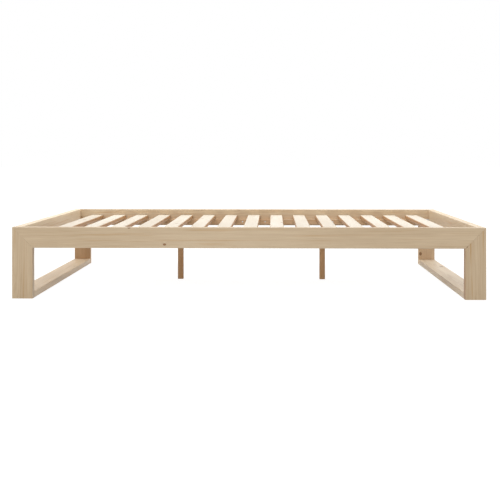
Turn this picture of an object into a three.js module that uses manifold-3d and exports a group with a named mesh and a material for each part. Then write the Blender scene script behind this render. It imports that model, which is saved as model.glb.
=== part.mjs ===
// A low pine platform bed. A front and a rear portal, each a side rail mitred into two flat legs, are
// joined at both ends by a rail at the top and a runner on the floor. The slats lie between the rails.
// Millimetres, +Z up. The front faces -Y, and the origin is on the floor under the middle of the bed.
import * as THREE from "three";
import { mergeVertices } from "three/addons/utils/BufferGeometryUtils.js";
import Module from "manifold-3d";

const wasm = await Module();
wasm.setup();

// Driving dimensions.
const mattress = { length: 2000, width: 1400, clearance: 9 };
const frameHeight = 316;
const board = { width: 92, thickness: 36, easing: 2 };
const runnerThickness = 28;
const slat = { count: 15, width: 70, thickness: 22, pitch: 130, recess: 32, endGap: 4, easing: 6 };
const ledger = { size: 30, cornerSpace: 60, easing: 1.5, screwEvery: 3 };
const beam = { height: 58, thickness: 36, endGap: 1 };
const post = { size: 28, offset: 362, easing: 1.5 };
const screw = { radius: 2.2, headRadius: 4.2, headDepth: 3 };
const dowel = { radius: 5, length: 60, inLeg: 24, chamfer: 1, spread: 23, heights: [16, 42] };
const stud = { radius: 4, length: 70, chamfer: 0.8 };
const mitreKey = { width: 30, thickness: 8, length: 30, easing: 3 };
const bracket = { reach: 50, height: 36, thickness: 3, holes: [15, 38] };
const hanger = { depth: 40, flange: 26, thickness: 3, slack: 0.3, holeInset: 12 };

// Clearances: between the two faces of a mitre, round what is pushed into a socket, and past the
// surface where a cutting shape has to run clear of it.
const mitreGap = 0.3;
const socketGap = 0.3;
const overrun = 2;

// How finely round stretches are stepped. An easing takes about this length to a step.
const easingStep = 2;
const leastEasingSteps = 2;
const dowelSteps = 12;
const screwSteps = 8;

// Where the inner and outer faces of the frame stand, and the levels from the floor up.
const inner = {
  x: mattress.length / 2 + mattress.clearance,
  y: mattress.width / 2 + mattress.clearance,
};
const outer = { x: inner.x + board.thickness, y: inner.y + board.thickness };
const railBottom = frameHeight - board.width;
const slatTop = frameHeight - slat.recess;
const slatBottom = slatTop - slat.thickness;
const beamBottom = slatBottom - beam.height;
const legCentre = outer.x - board.width / 2;

const pine = { color: "#d2b48f", roughness: 0.45, metalness: 0 };
const palePine = { color: "#e6d6bd", roughness: 0.5, metalness: 0 };
const beech = { color: "#c99f73", roughness: 0.6, metalness: 0 };
const zincSteel = { color: "#aeb2b6", roughness: 0.35, metalness: 0.9 };

// For each direction a piece runs along, the two directions of its cross-section.
const section = { x: ["y", "z"], y: ["z", "x"], z: ["x", "y"] };
const unit = {
  x: new THREE.Vector3(1, 0, 0),
  y: new THREE.Vector3(0, 1, 0),
  z: new THREE.Vector3(0, 0, 1),
};

// A [low, high] range on the given side of the middle, from its near edge to its far one.
function range(side, near, far) {
  return side > 0 ? [near, far] : [-far, -near];
}

function middle([low, high]) {
  return (low + high) / 2;
}

function extrudeAlong(axis, outline, [from, to], curveSegments = 1) {
  const settings = { depth: to - from, bevelEnabled: false, curveSegments };
  const geometry = new THREE.ExtrudeGeometry(outline, settings);
  geometry.translate(0, 0, from);
  const [across, up] = section[axis];
  return geometry.applyMatrix4(new THREE.Matrix4().makeBasis(unit[across], unit[up], unit[axis]));
}

function polygon(points) {
  return new THREE.Shape(points.map(([across, up]) => new THREE.Vector2(across, up)));
}

function roundedOutline([left, right], [bottom, top], radius) {
  const outline = new THREE.Shape();
  const corners = [
    [right - radius, bottom + radius],
    [right - radius, top - radius],
    [left + radius, top - radius],
    [left + radius, bottom + radius],
  ];
  corners.forEach(([across, up], quarter) => {
    const start = (quarter - 1) * (Math.PI / 2);
    outline.absarc(across, up, radius, start, start + Math.PI / 2);
  });
  return outline.closePath();
}

// A length of planed timber along one axis, its four long edges eased.
function timber(axis, ranges, easing) {
  const [across, up] = section[axis];
  const outline = roundedOutline(ranges[across], ranges[up], easing);
  const steps = Math.max(leastEasingSteps, Math.round(easing / easingStep));
  return extrudeAlong(axis, outline, ranges[axis], steps);
}

// A round piece or cutting shape. The profile is [radius, height] pairs from its low end to its high
// end. The heights run towards `out`, from the point `at`.
function turned(profile, at, out, steps) {
  const points = profile.map(([radius, height]) => new THREE.Vector2(radius, height));
  const geometry = new THREE.LatheGeometry(points, steps);
  geometry.applyQuaternion(new THREE.Quaternion().setFromUnitVectors(unit.y, out));
  return geometry.translate(at.x, at.y, at.z);
}

function chamferedRod({ radius, length, chamfer }, at, out) {
  const half = length / 2;
  const profile = [
    [0, -half],
    [radius - chamfer, -half],
    [radius, chamfer - half],
    [radius, half - chamfer],
    [radius - chamfer, half],
    [0, half],
  ];
  return turned(profile, at, out, dowelSteps);
}

function rodSocket({ radius, length }, at, out) {
  const half = length / 2 + socketGap;
  const wall = radius + socketGap;
  return turned([[0, -half], [wall, -half], [wall, half], [0, half]], at, out, dowelSteps);
}

// A clearance hole through `thickness` of material, countersunk where it opens towards `out`.
function screwHole(at, out, thickness) {
  const profile = [
    [0, -thickness - overrun],
    [screw.radius, -thickness - overrun],
    [screw.radius, -screw.headDepth],
    [screw.headRadius, 0],
    [screw.headRadius, overrun],
    [0, overrun],
  ];
  return turned(profile, at, out, screwSteps);
}

function solidFrom(geometry) {
  const bare = geometry.clone();
  bare.deleteAttribute("normal");
  bare.deleteAttribute("uv");
  const welded = mergeVertices(bare);
  const mesh = new wasm.Mesh({
    numProp: 3,
    vertProperties: Float32Array.from(welded.attributes.position.array),
    triVerts: Uint32Array.from(welded.index.array),
  });
  return new wasm.Manifold(mesh);
}

function geometryFrom(solid) {
  const mesh = solid.getMesh();
  const geometry = new THREE.BufferGeometry();
  geometry.setAttribute("position", new THREE.BufferAttribute(mesh.vertProperties, mesh.numProp));
  geometry.setIndex(new THREE.BufferAttribute(mesh.triVerts, 1));
  geometry.computeVertexNormals();
  return geometry;
}

function cut(geometry, cutters) {
  const start = solidFrom(geometry);
  return geometryFrom(cutters.reduce((solid, cutter) => solid.subtract(solidFrom(cutter)), start));
}

function join(geometry, others) {
  const start = solidFrom(geometry);
  return geometryFrom(others.reduce((solid, other) => solid.add(solidFrom(other)), start));
}

function piece(name, geometry, look) {
  const mesh = new THREE.Mesh(geometry, new THREE.MeshStandardMaterial(look));
  mesh.name = name;
  return mesh;
}

// The wedge on one side of a mitre, which runs at 45 degrees down from the top outer corner of a
// portal. `toLeg` is 1 for the wedge where the leg stands, and -1 for the one where the rail lies.
function mitreWedge(side, toLeg) {
  const shift = (toLeg * mitreGap) / 2 / Math.SQRT2;
  const high = { x: outer.x + overrun - shift, z: frameHeight + overrun + shift };
  const low = { x: outer.x - board.width - overrun - shift, z: railBottom - overrun + shift };
  const corner = toLeg > 0 ? { x: high.x, z: low.z } : { x: low.x, z: high.z };
  const points = [high, low, corner].map(({ x, z }) => [z, side * x]);
  return extrudeAlong("y", polygon(points), [-outer.y - overrun, -inner.y + overrun]);
}

// A flat key lying square across the mitre at its middle, grown by `slack` all over for its slot.
function keyAcrossMitre(side, slack) {
  const across = mitreKey.width / 2 + slack;
  const half = mitreKey.thickness / 2 + slack;
  const along = mitreKey.length / 2 + slack;
  const ranges = { x: [-across, across], y: [-half, half], z: [-along, along] };
  const key = timber("z", ranges, mitreKey.easing);
  key.rotateY((-side * Math.PI) / 4);
  return key.translate(side * legCentre, -(inner.y + outer.y) / 2, frameHeight - board.width / 2);
}

// The dowels into one leg: two from the end rail above each other, and two from the runner abreast.
function dowelsIntoLeg(side) {
  const y = dowel.length / 2 - dowel.inLeg - inner.y;
  const railX = side * (inner.x + board.thickness / 2);
  const fromRail = dowel.heights.map((height) => new THREE.Vector3(railX, y, railBottom + height));
  const fromRunner = [-1, 1].map(
    (hand) => new THREE.Vector3(side * (legCentre + hand * dowel.spread), y, runnerThickness / 2),
  );
  return { end_rail: fromRail, runner: fromRunner };
}

function sideRail() {
  const ranges = {
    x: [-outer.x, outer.x],
    y: [-outer.y, -inner.y],
    z: [railBottom, frameHeight],
  };
  const cutters = [-1, 1].flatMap((side) => [mitreWedge(side, 1), keyAcrossMitre(side, socketGap)]);
  return cut(timber("x", ranges, board.easing), cutters);
}

function leg(side) {
  const ranges = {
    x: range(side, outer.x - board.width, outer.x),
    y: [-outer.y, -inner.y],
    z: [0, frameHeight],
  };
  const dowels = dowelsIntoLeg(side);
  const sockets = [...dowels.end_rail, ...dowels.runner].map((at) => rodSocket(dowel, at, unit.y));
  const cutters = [mitreWedge(side, -1), keyAcrossMitre(side, socketGap), ...sockets];
  return cut(timber("z", ranges, board.easing), cutters);
}

// The ledger under the slat ends stops short of the corners, which leaves room for the brackets. It
// is screwed to the side rail in every third gap between slats.
function slatLedger() {
  const reach = inner.x - ledger.cornerSpace;
  const ranges = {
    x: [-reach, reach],
    y: [-inner.y, ledger.size - inner.y],
    z: [slatBottom - ledger.size, slatBottom],
  };
  const holes = [];
  for (let x = slat.pitch / 2; x < reach; x += slat.pitch * ledger.screwEvery) {
    for (const side of [-1, 1]) {
      const mouth = new THREE.Vector3(side * x, ranges.y[1], middle(ranges.z));
      holes.push(screwHole(mouth, unit.y, ledger.size));
    }
  }
  return cut(timber("x", ranges, ledger.easing), holes);
}

// One long side of the bed, built as the front. The rear is the same turned half round, which puts
// its left end on the right.
function portal(name, turn) {
  const group = new THREE.Group();
  group.rotation.z = turn;
  group.add(piece(`side_rail_${name}`, sideRail(), pine));
  group.add(piece(`ledger_${name}`, slatLedger(), pine));
  for (const side of [-1, 1]) {
    const end = side * Math.cos(turn) > 0 ? "right" : "left";
    const place = `${name}_${end}`;
    group.add(piece(`leg_${place}`, leg(side), pine));
    group.add(piece(`mitre_key_${place}`, keyAcrossMitre(side, 0), beech));
    for (const [joint, places] of Object.entries(dowelsIntoLeg(side))) {
      places.forEach((at, index) => {
        const rod = chamferedRod(dowel, at, unit.y);
        group.add(piece(`${joint}_dowel_${place}_${index + 1}`, rod, beech));
      });
    }
  }
  return group;
}

// The sockets in both ends of a piece that runs from the front portal to the rear one.
function socketsAtBothEnds(places) {
  return places.flatMap(({ x, y, z }) =>
    [y, -y].map((reach) => rodSocket(dowel, new THREE.Vector3(x, reach, z), unit.y)),
  );
}

function endRail() {
  const ranges = {
    x: [-outer.x, -inner.x],
    y: [-inner.y, inner.y],
    z: [railBottom, frameHeight],
  };
  return cut(timber("y", ranges, board.easing), socketsAtBothEnds(dowelsIntoLeg(-1).end_rail));
}

function floorRunner() {
  const ranges = {
    x: [-outer.x, board.width - outer.x],
    y: [-inner.y, inner.y],
    z: [0, runnerThickness],
  };
  return cut(timber("y", ranges, board.easing), socketsAtBothEnds(dowelsIntoLeg(-1).runner));
}

// A steel angle in a top corner, under the level of the slats. `hand` is -1 at the front corner.
function cornerBracket(hand) {
  const { reach, height, thickness, holes } = bracket;
  const corner = { x: -inner.x, y: hand * inner.y };
  const outline = polygon([
    [corner.x, corner.y],
    [corner.x + reach, corner.y],
    [corner.x + reach, corner.y - hand * thickness],
    [corner.x + thickness, corner.y - hand * thickness],
    [corner.x + thickness, corner.y - hand * reach],
    [corner.x, corner.y - hand * reach],
  ]);
  const level = slatBottom - height / 2;
  const inwards = new THREE.Vector3(0, -hand, 0);
  const cutters = holes.flatMap((distance) => {
    const onSideRail = new THREE.Vector3(corner.x + distance, corner.y - hand * thickness, level);
    const onEndRail = new THREE.Vector3(corner.x + thickness, corner.y - hand * distance, level);
    return [screwHole(onSideRail, inwards, thickness), screwHole(onEndRail, unit.x, thickness)];
  });
  return cut(extrudeAlong("z", outline, [slatBottom - height, slatBottom]), cutters);
}

// A steel stirrup on the end rail: a channel that the beam drops into, and a screwed flange each side.
function beamHanger() {
  const bore = beam.thickness / 2 + hanger.slack;
  const wall = bore + hanger.thickness;
  const floor = beamBottom - hanger.slack;
  const underside = floor - hanger.thickness;
  const channel = polygon([
    [-wall, underside],
    [wall, underside],
    [wall, slatBottom],
    [bore, slatBottom],
    [bore, floor],
    [-bore, floor],
    [-bore, slatBottom],
    [-wall, slatBottom],
  ]);
  const flanges = [-1, 1].map((hand) => {
    const near = bore + hanger.thickness / 2;
    const [from, to] = range(hand, near, wall + hanger.flange);
    const corners = [[from, railBottom], [to, railBottom], [to, slatBottom], [from, slatBottom]];
    return extrudeAlong("x", polygon(corners), [-inner.x, hanger.thickness - inner.x]);
  });
  const holes = [-1, 1].map((hand) => {
    const y = hand * (wall + hanger.flange - hanger.holeInset);
    const mouth = new THREE.Vector3(hanger.thickness - inner.x, y, (railBottom + slatBottom) / 2);
    return screwHole(mouth, unit.x, hanger.thickness);
  });
  const stirrup = extrudeAlong("x", channel, [-inner.x, hanger.depth - inner.x]);
  return cut(join(stirrup, flanges), holes);
}

// What joins the portals at one end, built as the left end and turned half round for the right.
function end(name, turn) {
  const group = new THREE.Group();
  group.rotation.z = turn;
  group.add(piece(`end_rail_${name}`, endRail(), pine));
  group.add(piece(`runner_${name}`, floorRunner(), pine));
  group.add(piece(`beam_hanger_${name}`, beamHanger(), zincSteel));
  for (const hand of [-1, 1]) {
    const corner = hand * Math.cos(turn) > 0 ? "rear" : "front";
    group.add(piece(`corner_bracket_${corner}_${name}`, cornerBracket(hand), zincSteel));
  }
  return group;
}

function studPlace(side) {
  return new THREE.Vector3(side * post.offset, 0, beamBottom);
}

function centreBeam() {
  const reach = inner.x - beam.endGap;
  const ranges = {
    x: [-reach, reach],
    y: [-beam.thickness / 2, beam.thickness / 2],
    z: [beamBottom, slatBottom],
  };
  const sockets = [-1, 1].map((side) => rodSocket(stud, studPlace(side), unit.z));
  return cut(timber("x", ranges, board.easing), sockets);
}

function centrePost(side) {
  const half = post.size / 2;
  const ranges = {
    x: [side * post.offset - half, side * post.offset + half],
    y: [-half, half],
    z: [0, beamBottom],
  };
  return cut(timber("z", ranges, post.easing), [rodSocket(stud, studPlace(side), unit.z)]);
}

// The beam under the slats at mid-width, on its two posts.
function centreSupport() {
  const group = new THREE.Group();
  group.add(piece("centre_beam", centreBeam(), pine));
  for (const [name, side] of [["left", -1], ["right", 1]]) {
    group.add(piece(`centre_post_${name}`, centrePost(side), pine));
    group.add(piece(`post_stud_${name}`, chamferedRod(stud, studPlace(side), unit.z), zincSteel));
  }
  return group;
}

// One slat about its own middle, with a screw hole over each ledger.
function slatBoard() {
  const reach = inner.y - slat.endGap;
  const ranges = {
    x: [-slat.width / 2, slat.width / 2],
    y: [-reach, reach],
    z: [slatBottom, slatTop],
  };
  const holes = [-1, 1].map((side) => {
    const mouth = new THREE.Vector3(0, side * (inner.y - ledger.size / 2), slatTop);
    return screwHole(mouth, unit.z, slat.thickness);
  });
  return cut(timber("y", ranges, slat.easing), holes);
}

function slats() {
  const group = new THREE.Group();
  for (let index = 0; index < slat.count; index += 1) {
    const one = piece(`slat_${String(index + 1).padStart(2, "0")}`, slatBoard(), palePine);
    one.position.x = (index - (slat.count - 1) / 2) * slat.pitch;
    group.add(one);
  }
  return group;
}

const bed = new THREE.Group();
bed.name = "pine_platform_bed";
bed.add(portal("front", 0), portal("rear", Math.PI));
bed.add(end("left", 0), end("right", Math.PI));
bed.add(centreSupport(), slats());

export default bed;
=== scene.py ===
"""The looks of a low pine platform bed.

The boards are the CAD solids. Each is a different piece of pine, with the grain along its length and
yearly rings round a pith that is usually outside the board. Screws stand in the holes of the slats,
the ledgers and the steel fittings. Metres; the origin is on the floor under the middle, and the
front faces -Y.
"""

import math
import random

import bmesh
import bpy
from mathutils import Euler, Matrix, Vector


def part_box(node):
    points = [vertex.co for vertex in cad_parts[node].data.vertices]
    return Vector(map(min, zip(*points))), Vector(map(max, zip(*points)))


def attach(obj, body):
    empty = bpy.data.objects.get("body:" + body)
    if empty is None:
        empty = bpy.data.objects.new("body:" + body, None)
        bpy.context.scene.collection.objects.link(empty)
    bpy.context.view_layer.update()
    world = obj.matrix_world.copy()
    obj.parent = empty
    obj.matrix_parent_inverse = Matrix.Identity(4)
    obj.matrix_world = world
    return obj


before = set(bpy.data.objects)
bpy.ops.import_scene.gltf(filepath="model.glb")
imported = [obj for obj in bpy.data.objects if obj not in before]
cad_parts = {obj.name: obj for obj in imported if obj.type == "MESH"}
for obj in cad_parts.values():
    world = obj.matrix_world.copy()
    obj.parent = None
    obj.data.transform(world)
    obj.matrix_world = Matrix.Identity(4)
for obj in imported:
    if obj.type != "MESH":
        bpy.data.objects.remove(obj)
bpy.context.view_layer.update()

# The camera stands level, a little right of the middle, and its view is shifted down to the bed.
CAMERA_PLACE = Vector((0.110, -5.313, 0.645))
CAMERA_HEADING = math.radians(1.35)
CAMERA_LENS = 74.7
CAMERA_SHIFT = (0.0032, -0.1944)

# The studio: a white floor and surround, a wide soft box above and behind, and one far in front.
# Where the floor is seen it glows, brighter further from the middle.
WHITE = (1, 1, 1, 1)
SKY_STRENGTH = 0.44
FLOOR_REACH = 40
FLOOR_ROUGHNESS = 0.8
FLOOR_ALBEDO = 0.55
FLOOR_SEEN_ALBEDO = 0.25
FLOOR_GLOW_START = 1.6
FLOOR_GLOW_END = 3.5
FLOOR_GLOW_NEAR = 0.88
FLOOR_GLOW_FAR = 1.0
OVERHEAD = {"place": Vector((0, 1.4, 2.6)), "size": (6.0, 2.0), "watts": 95}
FRONT_FILL = {"place": Vector((-1.4, -8.0, 5.0)), "size": (6.0, 3.0), "watts": 300}

# Pine, in linear colour. A cast is what the colour under it is multiplied by.
EARLY_WOOD = (0.67, 0.52, 0.345, 1)
LATE_WOOD = (0.50, 0.32, 0.165, 1)
# Pale wood for the wide faces; on the slats it also paints the white sheen of their tops.
SAPWOOD_AND_SHEEN = (0.775, 0.75, 0.675, 1)
RESIN = (0.52, 0.29, 0.10, 1)
# Paler rubbed edges; turned up on the ledgers, they paint a highlight.
RUBBED_EDGE_AND_HIGHLIGHT = (0.80, 0.68, 0.50, 1)
KNOT_HEART = (0.27, 0.13, 0.055, 1)
KNOT_GRAIN = (0.40, 0.22, 0.10, 1)
KNOT_BARK = (0.07, 0.03, 0.014, 1)
# A warm, darker cast: painted shade on the flanks and on the boards under the bed, partly a board's own
# warmth.
WARMTH_AND_SHADE_CAST = (0.76, 0.51, 0.30, 1)
END_GRAIN_CAST = (0.74, 0.66, 0.56, 1)

# How much of its colour each feature shows at most.
LATE_WOOD_SHARE = 0.5
BARK_SHARE = 0.8
END_GRAIN_SHARE = 0.8

# A noise is its spots to the metre along, across and through the board, and its detail. A wander
# has its whole reach across the grain as well.
FIBRE_NOISE = ((9, 520, 520), 5)
BLOTCH_NOISE = ((1.6, 16, 16), 3)
STREAK_NOISE = ((2.4, 85, 85), 3)
WEAR_AND_HIGHLIGHT_NOISE = ((14, 60, 60), 4)
KNOT_NOISE = ((60, 110, 60), 2)
SLOW_WANDER = ((1.1, 4, 4), 1, 0.03)
QUICK_WANDER = ((7, 30, 30), 2, 0.004)

# A ramp is where it starts and ends, then what it goes from and to where that isn't 0 and 1. Facing
# is how squarely a face looks along an axis, and the season is the fraction of the year gone.
FLANK_FACING = (0.4, 0.9)
END_FACING = (0.75, 0.95)
SEASON_RISE = (0.30, 0.88)
SEASON_FALL = (1.0, 0.90)
RING_STRENGTHS = (0, 1, 0.45, 1.0)
STREAK_EDGES = (0.56, 0.70)
FIBRE_SHADES = (0.25, 0.75, 0.92, 1.05)
BLOTCH_SHADES = (0.25, 0.75, -0.07, 0.06)
FIBRE_ROUGHNESS = (0.2, 0.8, 0.44, 0.54)
WEAR_AND_HIGHLIGHT_DISTANCE = (0.0035, 0.001)
WEAR_AND_HIGHLIGHT_PATCHES = (0.40, 0.65)

# Dark wood is redder too: the powers of the shade that its green and blue are multiplied by.
GREEN_POWER = 1.25
BLUE_POWER = 1.6

# What late wood, end grain and rubbed edges add to the roughness, and what makes up the relief.
LATE_WOOD_ROUGHNESS = -0.05
END_GRAIN_ROUGHNESS = 0.25
WEAR_ROUGHNESS = 0.12
LATE_WOOD_HEIGHT = 0.6
FIBRE_HEIGHT = 0.5

# Yearly rings: their width, by how many years a noise shifts them at most, and its spots to the year.
RING_WIDTH = 0.0034
RING_SHIFT = 1.6
RING_SHIFTS_PER_YEAR = 0.45

# Knots are scattered one to a cell, and some are left out by being put far off, in radii. The oval is
# what a distance from one counts for along, across and through the board. The rings bend round them
# by so many years, less with the square of the distance in radii.
KNOT_CELL = (0.34, 0.19)
KNOT_SCATTER = 0.7
KNOT_CHANCE = 0.5
KNOT_RADII = (0.003, 0.010)
KNOT_OVAL = (0.75, 1, 0)
KNOT_RAGGEDNESS = 0.004
FAR_OFF = 100
KNOT_BULGE = 3.5
KNOT_BULGE_FALL = -0.22

# Inside a knot: its rings to a radius and how they shade, its rim and its bark in radii from its
# middle, and how far it fades on the narrow faces of a board.
KNOT_RINGS = 3.2
KNOT_RING_EDGES = (0.2, 0.9)
KNOT_RIM = (1.08, 0.92)
KNOT_BARK_EDGES = (0.7, 0.98)
KNOT_ON_FLANK = (0, 1, 1.0, 0.35)

# Between which values each board draws its own: how far the pith stands aside of and behind the
# board's middle, how its grain leans across and through, where it is in the noise, and its tone.
# The last number starts the draws.
PITH_ASIDE = (-0.09, 0.09)
PITH_BEHIND = (0.02, 0.05)
LEAN_ACROSS = (-0.012, 0.012)
LEAN_THROUGH = (-0.008, 0.008)
SEEDS = (0, 90)
TONES = (0.95, 1.05)
RANDOM_SEED = 7

# Zinc-plated steel and beech, their noises and ramps given like the pine's.
ZINC_DULL = (0.56, 0.57, 0.58, 1)
ZINC_BRIGHT = (0.68, 0.69, 0.68, 1)
ZINC_SPANGLE = (0.80, 0.81, 0.82, 1)
ZINC_SPANGLE_SHARE = (0, 1, 0, 0.25)
ZINC_SPANGLES_PER_METRE = 420
ZINC_CLOUD_NOISE = ((60, 60, 60), 4)
ZINC_CLOUD_EDGES = (0.3, 0.7)
ZINC_ROUGHNESS = (0.2, 0.8, 0.28, 0.46)
BEECH_DARK = (0.56, 0.36, 0.22, 1)
BEECH_LIGHT = (0.70, 0.49, 0.32, 1)
BEECH_FLECK = (0.30, 0.16, 0.08, 1)
BEECH_FLECK_SHARE = 0.5
BEECH_FLECK_NOISE = ((900, 160, 900), 2)
BEECH_FLECK_EDGES = (0.60, 0.72)
BEECH_TONE_NOISE = ((120, 20, 120), 4)
BEECH_ROUGHNESS = (0.2, 0.8, 0.5, 0.65)

# The relief of each material: how strong it is, and how deep.
PINE_RELIEF = {"Strength": 0.25, "Distance": 0.0004}
ZINC_RELIEF = {"Strength": 0.2, "Distance": 0.0003}
BEECH_RELIEF = {"Strength": 0.3, "Distance": 0.0003}

# A plain board, the slats, and the boards that differ. A flank is a long narrow face. A knot is given
# by how far it stands along and across the board from its middle, and its radius.
OFF_THE_END = (9, 0, 0.005)
PLAIN_LOOK = {
    "WarmthAndShade": 0,
    "FlankShade": 0,
    "PalenessAndSheen": 0,
    "Streaks": 0.35,
    "WearAndHighlight": 0.35,
    "Knot": OFF_THE_END,
}
# The slats' flanks take painted shade, warm and dark; their paler wide faces are partly a painted
# sheen.
SLAT_LOOK = {"FlankShade": 0.85, "PalenessAndSheen": 0.55}
# Tones and warmth set here are partly each board's own and partly painted light and shade: some boards
# are lit lighter, and those under the bed are darkened and warmed as painted shade.
LOOKS = {
    "side_rail_front": {"Knot": (-0.368, -0.029, 0.005)},
    "side_rail_rear": {"ToneLightAndShade": 1.08, "Knot": (0.775, -0.003, 0.006)},
    "end_rail_left": {"ToneLightAndShade": 1.25},
    "end_rail_right": {"ToneLightAndShade": 1.15},
    "runner_left": {"ToneLightAndShade": 1.2, "WarmthAndShade": 0.1},
    "runner_right": {"ToneLightAndShade": 1.25, "PalenessAndSheen": 0.15},
    "leg_front_right": {
        "ToneLightAndShade": 0.94,
        "FlankShade": 0.8,
        "Streaks": 0.9,
        "Knot": (0.078, -0.040, 0.006),
    },
    "leg_rear_left": {"WarmthAndShade": 0.6, "ToneLightAndShade": 0.93},
    "leg_rear_right": {"WarmthAndShade": 0.4, "ToneLightAndShade": 1.28, "Knot": (-0.097, -0.035, 0.007)},
    "centre_post_left": {"WarmthAndShade": 0.75},
    "centre_post_right": {"WarmthAndShade": 0.8, "ToneLightAndShade": 1.12},
    "centre_beam": {"WarmthAndShade": 0.5},
    # The ledgers' edge wear is turned up into a painted highlight along their edges.
    "ledger_front": {"WarmthAndShade": 0.4, "WearAndHighlight": 0.9},
    "ledger_rear": {"ToneLightAndShade": 1.25, "WarmthAndShade": 0.6, "WearAndHighlight": 0.9},
}

# The arrises that the CAD leaves sharp, which turn by more than this angle, are broken by this much.
# The CAD's triangles are welded first, where their corners are this close.
ARRIS = 0.0008
ARRIS_STEPS = 2
ARRIS_ANGLE = math.radians(60)
WELD_DISTANCE = 0.00001

# Countersunk screws, a little slimmer than their holes, with a cross recess that narrows to its floor.
SCREW_SIDES = 24
SCREW_HEAD_RADIUS = 0.0037
SCREW_HEAD_EDGE = 0.0003
SCREW_HEAD_DEPTH = 0.0028
SCREW_SHANK_RADIUS = 0.0018
SCREW_TIP = 0.004
SCREW_TIP_RADIUS = SCREW_SHANK_RADIUS / 10
RECESS_REACH = 0.0021
RECESS_HALF_WIDTH = 0.0006
RECESS_DEPTH = 0.0016
RECESS_TAPER = 0.55
SLAT_SCREW = 0.040
LEDGER_SCREW = 0.045
PLATE_SCREW = 0.018

# Where the screws stand. The plate is the steel of the fittings. A bracket's holes are so far from its
# corner, and a hanger's are so far in from the ends of its flanges.
LEDGER_GAPS_PER_SCREW = 3
PLATE = 0.003
BRACKET_HOLES = (0.015, 0.038)
HANGER_HOLE_INSET = 0.012


def node(tree, kind, inputs, **settings):
    """A new node with its settings, and with each input set to a value or linked from a socket."""
    made = tree.nodes.new(kind)
    for name, value in settings.items():
        setattr(made, name, value)
    for name, value in inputs.items():
        if isinstance(value, bpy.types.NodeSocket):
            tree.links.new(value, made.inputs[name])
        else:
            made.inputs[name].default_value = value
    return made


def maths(tree, operation, *values):
    return node(tree, "ShaderNodeMath", dict(enumerate(values)), operation=operation).outputs[0]


def vectors(tree, operation, *values):
    made = node(tree, "ShaderNodeVectorMath", dict(enumerate(values)), operation=operation)
    return made.outputs["Value" if operation == "LENGTH" else "Vector"]


def components(tree, vector):
    return node(tree, "ShaderNodeSeparateXYZ", {0: vector}).outputs


def combined(tree, x, y, z):
    return node(tree, "ShaderNodeCombineXYZ", {0: x, 1: y, 2: z}).outputs[0]


def ramp(tree, value, start, end, low=0.0, high=1.0):
    """Goes smoothly from low to high as the value goes from start to end."""
    inputs = {"Value": value, "From Min": start, "From Max": end, "To Min": low, "To Max": high}
    return node(tree, "ShaderNodeMapRange", inputs, interpolation_type="SMOOTHSTEP").outputs[0]


def mix(tree, factor, first, second, blend="MIX"):
    """A mix of two colours. A Mix node has its colour inputs at 6 and 7, and their result at 2."""
    inputs = {0: factor, 6: first, 7: second}
    settings = {"data_type": "RGBA", "blend_type": blend, "clamp_factor": True}
    return node(tree, "ShaderNodeMix", inputs, **settings).outputs[2]


def noise(tree, place, per_metre, detail, output="Fac"):
    """Noise with so many spots to the metre in each direction."""
    inputs = {"Vector": vectors(tree, "MULTIPLY", place, per_metre), "Scale": 1, "Detail": detail}
    return node(tree, "ShaderNodeTexNoise", inputs).outputs[output]


def noise_along_line(tree, value):
    inputs = {"W": value, "Scale": 1}
    return node(tree, "ShaderNodeTexNoise", inputs, noise_dimensions="1D").outputs[0]


def wander(tree, place, per_metre, detail, reach):
    """A smoothly changing offset across the grain, up to half of reach either way."""
    drift = noise(tree, place, per_metre, detail, "Color")
    centred = vectors(tree, "SUBTRACT", drift, (0.5, 0.5, 0.5))
    return vectors(tree, "MULTIPLY", centred, (0, reach, reach))


def in_radii(tree, offset, ragged, radius):
    """How many radii from the middle of a knot that is a little longer along the grain."""
    oval = vectors(tree, "MULTIPLY", offset, KNOT_OVAL)
    distance = maths(tree, "ADD", vectors(tree, "LENGTH", oval), ragged)
    return maths(tree, "DIVIDE", distance, radius)


def knot_pattern(tree, given, seeded):
    """How many radii away the nearest knot is. Knots run square through the wide face.

    There is one at some of the points of a coarse cell pattern, and one where the board asks for it.
    """
    length, width = KNOT_CELL
    cells = vectors(tree, "MULTIPLY", seeded, (1 / length, 1 / width, 0))
    inputs = {"Vector": cells, "Scale": 1, "Randomness": KNOT_SCATTER}
    cell = node(tree, "ShaderNodeTexVoronoi", inputs, voronoi_dimensions="2D").outputs
    luck = node(tree, "ShaderNodeSeparateColor", {0: cell["Color"]}).outputs
    rim = noise(tree, seeded, *KNOT_NOISE)
    ragged = maths(tree, "MULTIPLY_ADD", rim, KNOT_RAGGEDNESS, -KNOT_RAGGEDNESS / 2)
    offset = vectors(tree, "SUBTRACT", cells, cell["Position"])
    offset = vectors(tree, "MULTIPLY", offset, (length, width, 0))
    scattered = in_radii(tree, offset, ragged, ramp(tree, luck[1], 0, 1, *KNOT_RADII))
    absent = maths(tree, "GREATER_THAN", luck[0], KNOT_CHANCE)
    scattered = maths(tree, "MULTIPLY_ADD", absent, FAR_OFF, scattered)
    offset = vectors(tree, "SUBTRACT", given["Place"], given["Knot"])
    chosen = in_radii(tree, offset, ragged, components(tree, given["Knot"])[2])
    return maths(tree, "MINIMUM", scattered, chosen)


def ring_bulge(tree, radii):
    """By how many years the rings bend round a knot so many radii away."""
    fall = maths(tree, "MULTIPLY", maths(tree, "POWER", radii, 2), KNOT_BULGE_FALL)
    return maths(tree, "MULTIPLY", maths(tree, "EXPONENT", fall), KNOT_BULGE)


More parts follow.
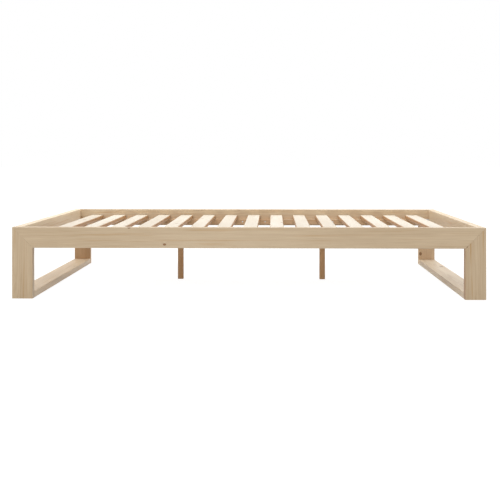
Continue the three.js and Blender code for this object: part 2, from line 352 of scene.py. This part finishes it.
def ring_pattern(tree, given, seeded, bulge):
    """How far into its late wood each yearly ring is, from 0 to 1. The bulge bends rings aside."""
    along = components(tree, given["Place"])[0]
    leaning = vectors(tree, "MULTIPLY", given["Slope"], combined(tree, along, along, along))
    from_pith = vectors(tree, "ADD", given["Place"], leaning)
    from_pith = vectors(tree, "SUBTRACT", from_pith, given["Pith"])
    for drift in (SLOW_WANDER, QUICK_WANDER):
        from_pith = vectors(tree, "ADD", from_pith, wander(tree, seeded, *drift))
    radius = vectors(tree, "LENGTH", vectors(tree, "MULTIPLY", from_pith, (0, 1, 1)))
    years = maths(tree, "ADD", maths(tree, "DIVIDE", radius, RING_WIDTH), bulge)
    uneven = noise_along_line(tree, maths(tree, "MULTIPLY", years, RING_SHIFTS_PER_YEAR))
    years = maths(tree, "MULTIPLY_ADD", uneven, RING_SHIFT, years)
    season = maths(tree, "FRACT", years)
    late = maths(tree, "MULTIPLY", ramp(tree, season, *SEASON_RISE), ramp(tree, season, *SEASON_FALL))
    whole = {"W": maths(tree, "FLOOR", years)}
    year = node(tree, "ShaderNodeTexWhiteNoise", whole, noise_dimensions="1D").outputs[0]
    return maths(tree, "MULTIPLY", late, ramp(tree, year, *RING_STRENGTHS))


def edge_wear_and_highlight(tree, given, seeded):
    """Where the long edges are rubbed, unevenly, from 0 to 1. Turned up, as on the ledgers, it paints a
    highlight along them.
    """
    place = components(tree, vectors(tree, "ABSOLUTE", given["Place"]))
    half = components(tree, given["Half"])
    inside = [maths(tree, "SUBTRACT", half[axis], place[axis]) for axis in (1, 2)]
    near = ramp(tree, maths(tree, "MAXIMUM", *inside), *WEAR_AND_HIGHLIGHT_DISTANCE)
    patches = ramp(tree, noise(tree, seeded, *WEAR_AND_HIGHLIGHT_NOISE), *WEAR_AND_HIGHLIGHT_PATCHES)
    return maths(tree, "MULTIPLY", near, patches)


def clear_wood(tree, given, seeded, late, fibre, flank):
    """The colour of the wood without its knots, rubbed edges and end grain, with painted light and
    shade in its tone, warmth and paleness.
    """
    streak = ramp(tree, noise(tree, seeded, *STREAK_NOISE), *STREAK_EDGES)
    blotch = ramp(tree, noise(tree, seeded, *BLOTCH_NOISE), *BLOTCH_SHADES)
    colour = mix(tree, maths(tree, "MULTIPLY", late, LATE_WOOD_SHARE), EARLY_WOOD, LATE_WOOD)
    colour = mix(tree, maths(tree, "MULTIPLY", streak, given["Streaks"]), colour, RESIN)
    # The wide faces are paled, partly as a painted sheen; the flanks are not.
    paleness_and_sheen = maths(tree, "MULTIPLY", given["PalenessAndSheen"], maths(tree, "SUBTRACT", 1, flank))
    colour = mix(tree, paleness_and_sheen, colour, SAPWOOD_AND_SHEEN)
    shade = maths(tree, "ADD", ramp(tree, fibre, *FIBRE_SHADES), blotch)
    # The tone carries painted light and shade on some boards.
    shade = maths(tree, "MULTIPLY", shade, given["ToneLightAndShade"])
    green = maths(tree, "POWER", shade, GREEN_POWER)
    blue = maths(tree, "POWER", shade, BLUE_POWER)
    colour = vectors(tree, "MULTIPLY", colour, combined(tree, shade, green, blue))
    # Painted shade: the flanks, and the boards set warm, take the warm dark cast.
    flank_shade = maths(tree, "MULTIPLY", flank, given["FlankShade"])
    warmth_and_shade = maths(tree, "MAXIMUM", given["WarmthAndShade"], flank_shade)
    return mix(tree, warmth_and_shade, colour, WARMTH_AND_SHADE_CAST, "MULTIPLY")


def with_knots(tree, colour, radii, flank):
    """The colour with the knots in it, ringed and dark at the bark."""
    turns = maths(tree, "FRACT", maths(tree, "MULTIPLY", radii, KNOT_RINGS))
    heart = mix(tree, ramp(tree, turns, *KNOT_RING_EDGES), KNOT_HEART, KNOT_GRAIN)
    in_knot = ramp(tree, radii, *KNOT_RIM)
    in_knot = maths(tree, "MULTIPLY", in_knot, ramp(tree, flank, *KNOT_ON_FLANK))
    bark = maths(tree, "MULTIPLY", ramp(tree, radii, *KNOT_BARK_EDGES), in_knot)
    colour = mix(tree, in_knot, colour, heart)
    return mix(tree, maths(tree, "MULTIPLY", bark, BARK_SHARE), colour, KNOT_BARK)


def pine_group():
    """The node group of all the pine.

    Its vectors run along, across and through the board, Place in metres from its middle.
    """
    tree = bpy.data.node_groups.new("pine", "ShaderNodeTree")
    for name in ("Place", "Facing", "Half", "Pith", "Slope", "Knot"):
        tree.interface.new_socket(name, in_out="INPUT", socket_type="NodeSocketVector")
    for name in ("Seed", "ToneLightAndShade", "WarmthAndShade", "FlankShade", "PalenessAndSheen", "Streaks", "WearAndHighlight"):
        tree.interface.new_socket(name, in_out="INPUT", socket_type="NodeSocketFloat")
    tree.interface.new_socket("Colour", in_out="OUTPUT", socket_type="NodeSocketColor")
    for name in ("Roughness", "Height"):
        tree.interface.new_socket(name, in_out="OUTPUT", socket_type="NodeSocketFloat")
    given = tree.nodes.new("NodeGroupInput").outputs
    seed = given["Seed"]
    seeded = vectors(tree, "ADD", given["Place"], combined(tree, seed, seed, seed))

    facing = components(tree, vectors(tree, "ABSOLUTE", given["Facing"]))
    end_grain = ramp(tree, facing[0], *END_FACING)
    flank = ramp(tree, facing[1], *FLANK_FACING)
    radii = knot_pattern(tree, given, seeded)
    late = ring_pattern(tree, given, seeded, ring_bulge(tree, radii))
    fibre = noise(tree, seeded, *FIBRE_NOISE)
    wear_and_highlight = edge_wear_and_highlight(tree, given, seeded)

    colour = clear_wood(tree, given, seeded, late, fibre, flank)
    colour = with_knots(tree, colour, radii, flank)
    # Rubbed edges, which on the ledgers paint a highlight.
    colour = mix(tree, maths(tree, "MULTIPLY", wear_and_highlight, given["WearAndHighlight"]), colour, RUBBED_EDGE_AND_HIGHLIGHT)
    end_share = maths(tree, "MULTIPLY", end_grain, END_GRAIN_SHARE)
    colour = mix(tree, end_share, colour, END_GRAIN_CAST, "MULTIPLY")
    roughness = ramp(tree, fibre, *FIBRE_ROUGHNESS)
    added = ((late, LATE_WOOD_ROUGHNESS), (end_grain, END_GRAIN_ROUGHNESS), (wear_and_highlight, WEAR_ROUGHNESS))
    for share, amount in added:
        roughness = maths(tree, "MULTIPLY_ADD", share, amount, roughness)
    height = maths(tree, "MULTIPLY", fibre, FIBRE_HEIGHT)
    height = maths(tree, "MULTIPLY_ADD", late, LATE_WOOD_HEIGHT, height)
    results = {"Colour": colour, "Roughness": roughness, "Height": height}
    node(tree, "NodeGroupOutput", results)
    return tree


def new_material(name):
    material = bpy.data.materials.new(name)
    material.use_nodes = True
    return material, material.node_tree, material.node_tree.nodes["Principled BSDF"]


def link_surface(tree, shader, colour, roughness, height, relief):
    """Links a material's colour and roughness, and its height as a bump."""
    bump = node(tree, "ShaderNodeBump", {"Height": height, **relief}).outputs[0]
    for name, socket in (("Base Color", colour), ("Roughness", roughness), ("Normal", bump)):
        tree.links.new(socket, shader.inputs[name])


def reordered(tree, vector, order):
    """The vector with its components in another order."""
    parts = components(tree, vector)
    return combined(tree, *(parts[axis] for axis in order))


def pine_board(name, pine, chance):
    """The material of one board: its own piece of pine, the grain along the board's longest side."""
    low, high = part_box(name)
    half = (high - low) / 2
    order = sorted(range(3), key=lambda axis: -half[axis])
    material, tree, shader = new_material(f"pine_{name}")
    place = node(tree, "ShaderNodeTexCoord", {}).outputs["Object"]
    from_middle = vectors(tree, "SUBTRACT", place, tuple(low + half))
    facing = node(tree, "ShaderNodeNewGeometry", {}).outputs["True Normal"]
    wood = tree.nodes.new("ShaderNodeGroup")
    wood.node_tree = pine
    tree.links.new(reordered(tree, from_middle, order), wood.inputs["Place"])
    tree.links.new(reordered(tree, facing, order), wood.inputs["Facing"])
    heart_side = chance.choice((-1, 1))
    values = {
        "Half": [half[axis] for axis in order],
        "Pith": (0, chance.uniform(*PITH_ASIDE), heart_side * chance.uniform(*PITH_BEHIND)),
        "Slope": (0, chance.uniform(*LEAN_ACROSS), chance.uniform(*LEAN_THROUGH)),
        "Seed": chance.uniform(*SEEDS),
        "ToneLightAndShade": chance.uniform(*TONES),
        **PLAIN_LOOK,
        **(SLAT_LOOK if name.startswith("slat_") else {}),
        **LOOKS.get(name, {}),
    }
    for socket, value in values.items():
        wood.inputs[socket].default_value = value
    results = (wood.outputs[name] for name in ("Colour", "Roughness", "Height"))
    link_surface(tree, shader, *results, PINE_RELIEF)
    return material


def zinc_steel():
    """Zinc-plated steel: a soft metal shine with faint spangles and cloudy plating."""
    material, tree, shader = new_material("zinc_steel")
    place = node(tree, "ShaderNodeTexCoord", {}).outputs["Object"]
    cells = {"Vector": place, "Scale": ZINC_SPANGLES_PER_METRE}
    spangle = node(tree, "ShaderNodeTexVoronoi", cells).outputs["Color"]
    grey = node(tree, "ShaderNodeSeparateColor", {0: spangle}).outputs[0]
    cloud = noise(tree, place, *ZINC_CLOUD_NOISE)
    colour = mix(tree, ramp(tree, cloud, *ZINC_CLOUD_EDGES), ZINC_DULL, ZINC_BRIGHT)
    colour = mix(tree, ramp(tree, grey, *ZINC_SPANGLE_SHARE), colour, ZINC_SPANGLE)
    link_surface(tree, shader, colour, ramp(tree, cloud, *ZINC_ROUGHNESS), cloud, ZINC_RELIEF)
    shader.inputs["Metallic"].default_value = 1
    return material


def bare_beech():
    """Bare beech: even and pinkish, with short dark ray flecks."""
    material, tree, shader = new_material("beech")
    place = node(tree, "ShaderNodeTexCoord", {}).outputs["Object"]
    fleck = ramp(tree, noise(tree, place, *BEECH_FLECK_NOISE), *BEECH_FLECK_EDGES)
    tone = noise(tree, place, *BEECH_TONE_NOISE)
    colour = mix(tree, tone, BEECH_DARK, BEECH_LIGHT)
    colour = mix(tree, maths(tree, "MULTIPLY", fleck, BEECH_FLECK_SHARE), colour, BEECH_FLECK)
    link_surface(tree, shader, colour, ramp(tree, tone, *BEECH_ROUGHNESS), tone, BEECH_RELIEF)
    return material


def break_arrises(piece):
    """Breaks the sharp edges of a CAD solid and shades its rounded ones smooth."""
    piece.data.attributes.remove(piece.data.attributes["custom_normal"])
    piece.data.shade_smooth()
    weld = piece.modifiers.new("weld", "WELD")
    weld.merge_threshold = WELD_DISTANCE
    bevel = piece.modifiers.new("arrises", "BEVEL")
    bevel.width = ARRIS
    bevel.segments = ARRIS_STEPS
    bevel.limit_method = "ANGLE"
    bevel.angle_limit = ARRIS_ANGLE
    piece.modifiers.new("flat_faces", "WEIGHTED_NORMAL")


def finish_frame(steel):
    """Gives every CAD solid its material and breaks its arrises."""
    chance = random.Random(RANDOM_SEED)
    pine = pine_group()
    beech = bare_beech()
    for name, piece in sorted(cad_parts.items()):
        slot = piece.material_slots[0]
        if slot.material.name == "zinc_steel":
            slot.material = steel
        elif slot.material.name == "beech":
            slot.material = beech
        else:
            slot.material = pine_board(name, pine, chance)
        break_arrises(piece)


def ring_of_points(build, radius, height):
    angles = [2 * math.pi * step / SCREW_SIDES for step in range(SCREW_SIDES)]
    return [build.verts.new((radius * math.cos(a), radius * math.sin(a), height)) for a in angles]


def cross_of_points(build, scale, height):
    """The outline of a cross recess, three points to each arm."""
    reach = RECESS_REACH * scale
    half = RECESS_HALF_WIDTH * scale
    arm = [Vector((reach, -half, height)), Vector((reach, half, height)), Vector((half, half, height))]
    turns = [Euler((0, 0, quarter * math.pi / 2)) for quarter in range(4)]
    return [build.verts.new(turn.to_matrix() @ point) for turn in turns for point in arm]


def loop_edges(build, points):
    return [build.edges.new((point, points[i - 1])) for i, point in enumerate(points)]


def skin(build, upper, lower):
    for i in range(len(upper)):
        build.faces.new((upper[i - 1], upper[i], lower[i], lower[i - 1]))


def screw_mesh(name, length, steel):
    """A countersunk screw, the top of its head at the origin and its tip down the Z axis."""
    mesh = bpy.data.meshes.new(name)
    build = bmesh.new()
    rim = ring_of_points(build, SCREW_HEAD_RADIUS, 0)
    edge = ring_of_points(build, SCREW_HEAD_RADIUS, -SCREW_HEAD_EDGE)
    neck = ring_of_points(build, SCREW_SHANK_RADIUS, -SCREW_HEAD_DEPTH)
    shoulder = ring_of_points(build, SCREW_SHANK_RADIUS, SCREW_TIP - length)
    tip = ring_of_points(build, SCREW_TIP_RADIUS, -length)
    mouth = cross_of_points(build, 1, 0)
    pit = cross_of_points(build, RECESS_TAPER, -RECESS_DEPTH)
    top = loop_edges(build, rim) + loop_edges(build, mouth)
    bmesh.ops.triangle_fill(build, edges=top, use_beauty=True)
    for upper, lower in ((rim, edge), (edge, neck), (neck, shoulder), (shoulder, tip), (mouth, pit)):
        skin(build, upper, lower)
    build.faces.new(pit)
    build.faces.new(tip)
    bmesh.ops.recalc_face_normals(build, faces=build.faces)
    build.to_mesh(mesh)
    build.free()
    mesh.materials.append(steel)
    return mesh


def drive_screws(mesh, places, out):
    """One screw at each place, its head facing out."""
    for place in places:
        screw = bpy.data.objects.new(mesh.name, mesh)
        screw.location = place
        screw.rotation_mode = "QUATERNION"
        screw.rotation_quaternion = out.to_track_quat("Z", "Y")
        bpy.context.scene.collection.objects.link(screw)
        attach(screw, "root")


def middle_of(name):
    low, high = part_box(name)
    return (low + high) / 2


def pieces_named(start):
    return [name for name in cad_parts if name.startswith(start)]


def screw_down_slats(mesh):
    """A screw at each end of each slat, over the middle of the ledger."""
    slats = pieces_named("slat_")
    for ledger in pieces_named("ledger_"):
        y = middle_of(ledger).y
        places = [Vector((middle_of(slat).x, y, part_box(slat)[1].z)) for slat in slats]
        drive_screws(mesh, places, Vector((0, 0, 1)))


def screw_on_ledgers(mesh):
    """Each ledger has a screw in every third gap between slats, from its middle outwards."""
    pitch = middle_of("slat_02").x - middle_of("slat_01").x
    for ledger in pieces_named("ledger_"):
        low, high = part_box(ledger)
        middle = middle_of(ledger)
        inwards = Vector((0, -math.copysign(1, middle.y), 0))
        face = min(low.y, high.y, key=abs)
        count = math.ceil((high.x - pitch / 2) / (pitch * LEDGER_GAPS_PER_SCREW))
        offsets = [pitch * (0.5 + LEDGER_GAPS_PER_SCREW * i) for i in range(count)]
        places = [Vector((side * x, face, middle.z)) for x in offsets for side in (-1, 1)]
        drive_screws(mesh, places, inwards)


def screw_on_brackets(mesh):
    """Two screws through each leaf of the four corner brackets."""
    for name in pieces_named("corner_bracket_"):
        low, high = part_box(name)
        outermost = [max(low[axis], high[axis], key=abs) for axis in (0, 1)]
        corner = Vector((*outermost, middle_of(name).z))
        along_x = Vector((-math.copysign(1, corner.x), 0, 0))
        along_y = Vector((0, -math.copysign(1, corner.y), 0))
        on_side_rail = [corner + along_x * hole + along_y * PLATE for hole in BRACKET_HOLES]
        on_end_rail = [corner + along_y * hole + along_x * PLATE for hole in BRACKET_HOLES]
        drive_screws(mesh, on_side_rail, along_y)
        drive_screws(mesh, on_end_rail, along_x)


def screw_on_hangers(mesh):
    """A screw through each flange of the two beam hangers."""
    for end in ("left", "right"):
        low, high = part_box(f"beam_hanger_{end}")
        wall = max(low.x, high.x, key=abs)
        inwards = Vector((-math.copysign(1, wall), 0, 0))
        level = (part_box(f"end_rail_{end}")[0].z + high.z) / 2
        reach = high.y - HANGER_HOLE_INSET
        places = [Vector((wall + inwards.x * PLATE, side * reach, level)) for side in (-1, 1)]
        drive_screws(mesh, places, inwards)


def shown(tree):
    """1 where the camera or a reflection looks, and 0 where light only bounces."""
    path = node(tree, "ShaderNodeLightPath", {}).outputs
    return maths(tree, "MAXIMUM", path["Is Camera Ray"], path["Is Glossy Ray"])


def floor_white():
    """A pale floor to the light that bounces, and a glowing one with faint shadows where it is seen."""
    material, tree, shader = new_material("floor_white")
    shader.inputs["Base Color"].default_value = (FLOOR_ALBEDO, FLOOR_ALBEDO, FLOOR_ALBEDO, 1)
    shader.inputs["Roughness"].default_value = FLOOR_ROUGHNESS
    place = node(tree, "ShaderNodeTexCoord", {}).outputs["Object"]
    glow_range = (FLOOR_GLOW_START, FLOOR_GLOW_END, FLOOR_GLOW_NEAR, FLOOR_GLOW_FAR)
    strength = ramp(tree, vectors(tree, "LENGTH", place), *glow_range)
    glow = node(tree, "ShaderNodeEmission", {"Color": WHITE, "Strength": strength}).outputs[0]
    seen_colour = (FLOOR_SEEN_ALBEDO, FLOOR_SEEN_ALBEDO, FLOOR_SEEN_ALBEDO, 1)
    lit = node(tree, "ShaderNodeBsdfDiffuse", {"Color": seen_colour}).outputs[0]
    seen = node(tree, "ShaderNodeAddShader", {0: glow, 1: lit}).outputs[0]
    surface = node(tree, "ShaderNodeMixShader", {0: shown(tree), 1: shader.outputs[0], 2: seen})
    tree.links.new(surface.outputs[0], tree.nodes["Material Output"].inputs["Surface"])
    return material


def white_floor():
    mesh = bpy.data.meshes.new("floor")
    build = bmesh.new()
    corners = [(-1, -1), (1, -1), (1, 1), (-1, 1)]
    build.faces.new([build.verts.new((x * FLOOR_REACH, y * FLOOR_REACH, 0)) for x, y in corners])
    build.to_mesh(mesh)
    build.free()
    mesh.materials.append(floor_white())
    floor = bpy.data.objects.new("floor", mesh)
    bpy.context.scene.collection.objects.link(floor)


def white_surround():
    """Full white where it is seen or mirrored, and dimmer as a light."""
    world = bpy.data.worlds.new("studio")
    world.use_nodes = True
    tree = world.node_tree
    dim = tree.nodes["Background"]
    dim.inputs["Color"].default_value = WHITE
    dim.inputs["Strength"].default_value = SKY_STRENGTH
    full = node(tree, "ShaderNodeBackground", {"Color": WHITE, "Strength": 1}).outputs[0]
    surface = node(tree, "ShaderNodeMixShader", {0: shown(tree), 1: dim.outputs[0], 2: full})
    tree.links.new(surface.outputs[0], tree.nodes["World Output"].inputs["Surface"])
    bpy.context.scene.world = world


def soft_box(name, place, size, watts):
    """A wide lamp that points at the middle of the floor."""
    light = bpy.data.lights.new(name, "AREA")
    light.shape = "RECTANGLE"
    light.size, light.size_y = size
    light.energy = watts
    lamp = bpy.data.objects.new(name, light)
    lamp.location = place
    lamp.rotation_euler = (-place).to_track_quat("-Z", "Y").to_euler()
    bpy.context.scene.collection.objects.link(lamp)


def camera():
    lens = bpy.data.cameras.new("camera")
    lens.lens = CAMERA_LENS
    lens.shift_x, lens.shift_y = CAMERA_SHIFT
    stand = bpy.data.objects.new("camera", lens)
    stand.location = CAMERA_PLACE
    stand.rotation_euler = Euler((math.pi / 2, 0, CAMERA_HEADING))
    bpy.context.scene.collection.objects.link(stand)
    bpy.context.scene.camera = stand


camera()
white_surround()
white_floor()
soft_box("overhead", **OVERHEAD)
soft_box("front_fill", **FRONT_FILL)
zinc = zinc_steel()
finish_frame(zinc)
screw_down_slats(screw_mesh("slat_screw", SLAT_SCREW, zinc))
screw_on_ledgers(screw_mesh("ledger_screw", LEDGER_SCREW, zinc))
plate_screw = screw_mesh("plate_screw", PLATE_SCREW, zinc)
screw_on_brackets(plate_screw)
screw_on_hangers(plate_screw)
bpy.context.scene.view_settings.view_transform = "Standard"
